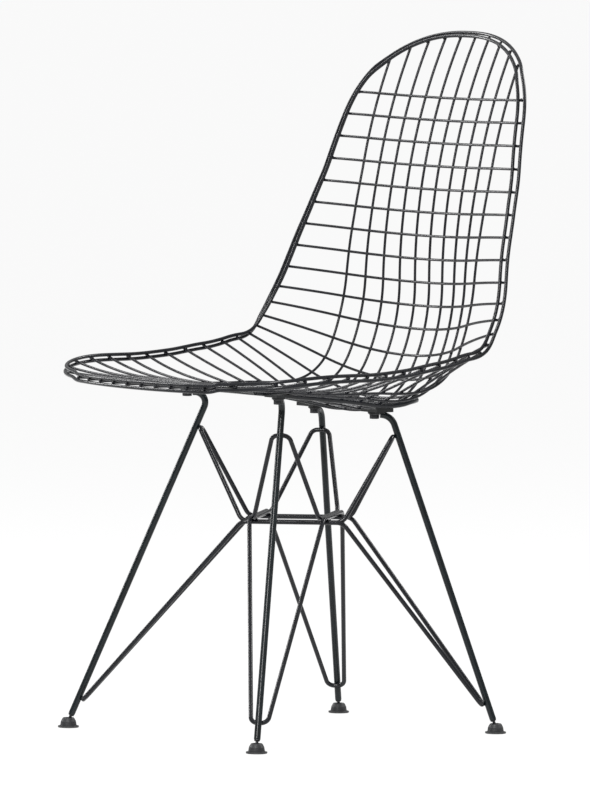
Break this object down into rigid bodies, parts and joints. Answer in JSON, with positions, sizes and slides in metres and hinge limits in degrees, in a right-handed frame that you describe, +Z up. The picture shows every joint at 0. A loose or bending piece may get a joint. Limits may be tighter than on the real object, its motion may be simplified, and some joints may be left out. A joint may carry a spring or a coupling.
{
  "type": "wire mesh chair",
  "caption": "Side chair with a dished welded wire mesh shell on four bent rod legs, crossed brace loops and tilting glides.",
  "frame": {"origin": "on the floor, at the middle of the overall footprint", "axes": "+Z up, the chair faces -Y, +X is the sitter's left"},
  "size_m": [0.4876, 0.51, 0.8438],
  "materials": {
    "coated_wire": "semi-gloss black powder coat",
    "coated_rod": "semi-gloss black powder coat",
    "coated_leg": "semi-gloss black powder coat",
    "coated_plate": "semi-gloss black powder coat",
    "dark_steel": "dark phosphated steel",
    "dark_plastic": "matte dark plastic"
  },
  "bodies": {
    "chair": {"rim_outer": "coated_rod", "rim_inner": "coated_rod", "long_wire_01": "coated_wire", "long_wire_02": "coated_wire", "long_wire_03": "coated_wire", "long_wire_04": "coated_wire", "long_wire_05": "coated_wire", "long_wire_06": "coated_wire", "long_wire_07": "coated_wire", "long_wire_08": "coated_wire", "long_wire_09": "coated_wire", "long_wire_10": "coated_wire", "cross_wire_01": "coated_wire", "cross_wire_02": "coated_wire", "cross_wire_03": "coated_wire", "cross_wire_04": "coated_wire", "cross_wire_05": "coated_wire", "cross_wire_06": "coated_wire", "cross_wire_07": "coated_wire", "cross_wire_08": "coated_wire", "cross_wire_09": "coated_wire", "cross_wire_10": "coated_wire", "cross_wire_11": "coated_wire", "cross_wire_12": "coated_wire", "cross_wire_13": "coated_wire", "cross_wire_14": "coated_wire", "cross_wire_15": "coated_wire", "cross_wire_16": "coated_wire", "cross_wire_17": "coated_wire", "cross_wire_18": "coated_wire", "cross_wire_19": "coated_wire", "cross_wire_20": "coated_wire", "cross_wire_21": "coated_wire", "cross_wire_22": "coated_wire", "cross_wire_23": "coated_wire", "cross_wire_24": "coated_wire", "cross_wire_25": "coated_wire", "cross_wire_26": "coated_wire", "support_frame": "coated_rod", "leg_front_left": "coated_leg", "leg_front_right": "coated_leg", "leg_back_left": "coated_leg", "leg_back_right": "coated_leg", "glide_stud_front_left": "dark_steel", "glide_stud_front_right": "dark_steel", "glide_stud_back_left": "dark_steel", "glide_stud_back_right": "dark_steel", "brace_loop_upper_a": "coated_rod", "brace_loop_upper_b": "coated_rod", "brace_loop_lower_a": "coated_rod", "brace_loop_lower_b": "coated_rod", "mount_plates": "coated_plate", "leg_tabs": "coated_plate", "mount_bolts": "dark_steel", "mount_washers": "dark_steel"},
    "glide_front_left": {"glide_front_left": "dark_plastic"},
    "glide_front_right": {"glide_front_right": "dark_plastic"},
    "glide_back_left": {"glide_back_left": "dark_plastic"},
    "glide_back_right": {"glide_back_right": "dark_plastic"}
  },
  "joints": [
    {"name": "glide_tilt_front_left", "type": "hinge", "parent": "chair", "child": "glide_front_left", "pos_m": [0.1904, -0.20936, 0.0075], "axis": [-0.7264, -0.6873, 0], "range_deg": [-10, 10]},
    {"name": "glide_tilt_front_right", "type": "hinge", "parent": "chair", "child": "glide_front_right", "pos_m": [-0.1904, -0.20936, 0.0075], "axis": [-0.7264, 0.6873, 0], "range_deg": [-10, 10]},
    {"name": "glide_tilt_back_left", "type": "hinge", "parent": "chair", "child": "glide_back_left", "pos_m": [0.1565, 0.17704, 0.0075], "axis": [0.7414, -0.671, 0], "range_deg": [-10, 10]},
    {"name": "glide_tilt_back_right", "type": "hinge", "parent": "chair", "child": "glide_back_right", "pos_m": [-0.1565, 0.17704, 0.0075], "axis": [0.7414, 0.671, 0], "range_deg": [-10, 10]}
  ]
}
